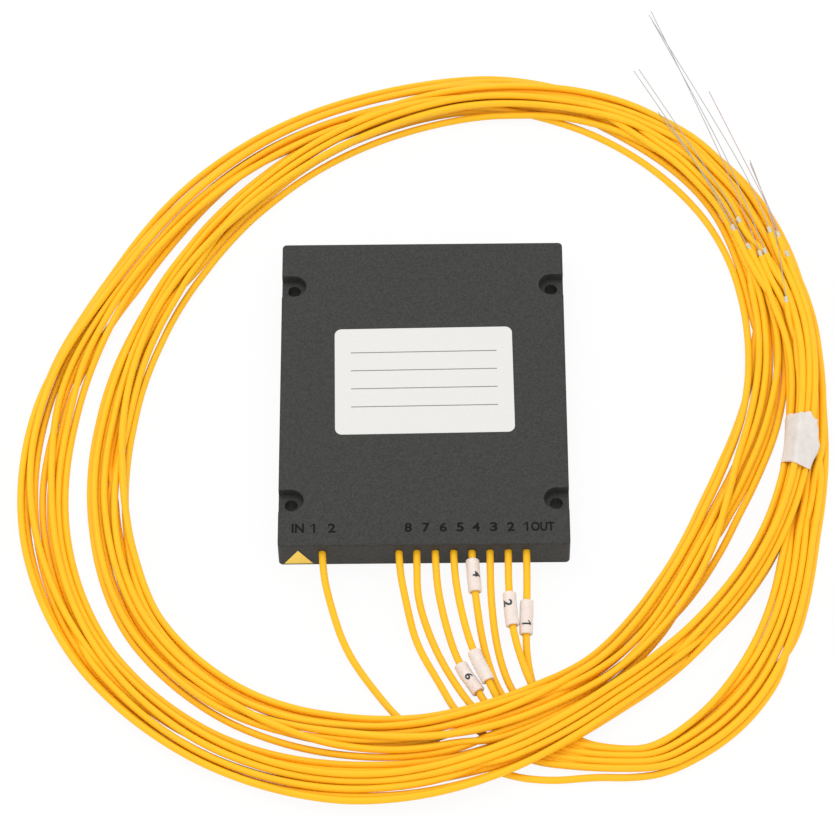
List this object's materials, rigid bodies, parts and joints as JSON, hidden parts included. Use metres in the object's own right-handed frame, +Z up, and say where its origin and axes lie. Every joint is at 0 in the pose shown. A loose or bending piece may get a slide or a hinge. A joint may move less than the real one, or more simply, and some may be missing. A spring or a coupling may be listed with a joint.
{
  "type": "plc fibre splitter",
  "caption": "Flat black fibre-optic splitter module with open corner screw seats, a bare label and thin yellow input and output cables wound in a loose taped coil around it.",
  "frame": {"origin": "middle of the module's underside", "axes": "+Z up through the label, the cables leave towards -Y, +X towards output 1's corner"},
  "size_m": [0.2276, 0.2628, 0.0101],
  "materials": {
    "moulded_black": "fine matte moulded grain",
    "label_paper": "matte white",
    "sticker_film": "satin yellow",
    "steel": "brushed",
    "quartz": "clear ground glass",
    "soft_plug": "matte silicone",
    "coated_fibre": "clear coated glass fibre",
    "clear_plastic": "satin",
    "ferrule_metal": "satin",
    "cable_jacket": "satin yellow jacket",
    "tape": "matte off-white",
    "marker_plastic": "matte off-white",
    "inner_tube_plastic": "translucent white"
  },
  "bodies": {
    "root": {"housing": "moulded_black", "base_plate": "moulded_black", "top_label": "label_paper", "corner_sticker": "sticker_film", "splitter_tube": "steel", "input_fibre_array": "quartz", "splitter_chip": "quartz", "output_fibre_array": "quartz", "input_end_plug": "soft_plug", "output_end_plug": "soft_plug", "input_fibre": "coated_fibre", "fibre_ribbon": "coated_fibre", "fan_out_block": "clear_plastic", "output_fibre_1": "coated_fibre", "output_fibre_2": "coated_fibre", "output_fibre_3": "coated_fibre", "output_fibre_4": "coated_fibre", "output_fibre_5": "coated_fibre", "output_fibre_6": "coated_fibre", "output_fibre_7": "coated_fibre", "output_fibre_8": "coated_fibre", "cable_ferrules": "ferrule_metal", "cable_in": "cable_jacket", "cable_1": "cable_jacket", "cable_2": "cable_jacket", "cable_3": "cable_jacket", "cable_4": "cable_jacket", "cable_5": "cable_jacket", "cable_6": "cable_jacket", "cable_7": "cable_jacket", "cable_8": "cable_jacket", "cable_coil": "cable_jacket", "coil_tape": "tape", "marker_sleeve_1": "marker_plastic", "marker_sleeve_2": "marker_plastic", "marker_sleeve_4": "marker_plastic", "marker_sleeve_5": "marker_plastic", "marker_sleeve_6": "marker_plastic", "inner_tube_in": "inner_tube_plastic", "inner_tube_1": "inner_tube_plastic", "inner_tube_2": "inner_tube_plastic", "inner_tube_3": "inner_tube_plastic", "inner_tube_4": "inner_tube_plastic", "inner_tube_5": "inner_tube_plastic", "inner_tube_6": "inner_tube_plastic", "inner_tube_7": "inner_tube_plastic", "inner_tube_8": "inner_tube_plastic", "bare_fibre_in": "coated_fibre", "bare_fibre_1": "coated_fibre", "bare_fibre_2": "coated_fibre", "bare_fibre_3": "coated_fibre", "bare_fibre_4": "coated_fibre", "bare_fibre_5": "coated_fibre", "bare_fibre_6": "coated_fibre", "bare_fibre_7": "coated_fibre", "bare_fibre_8": "coated_fibre"}
  },
  "joints": []
}
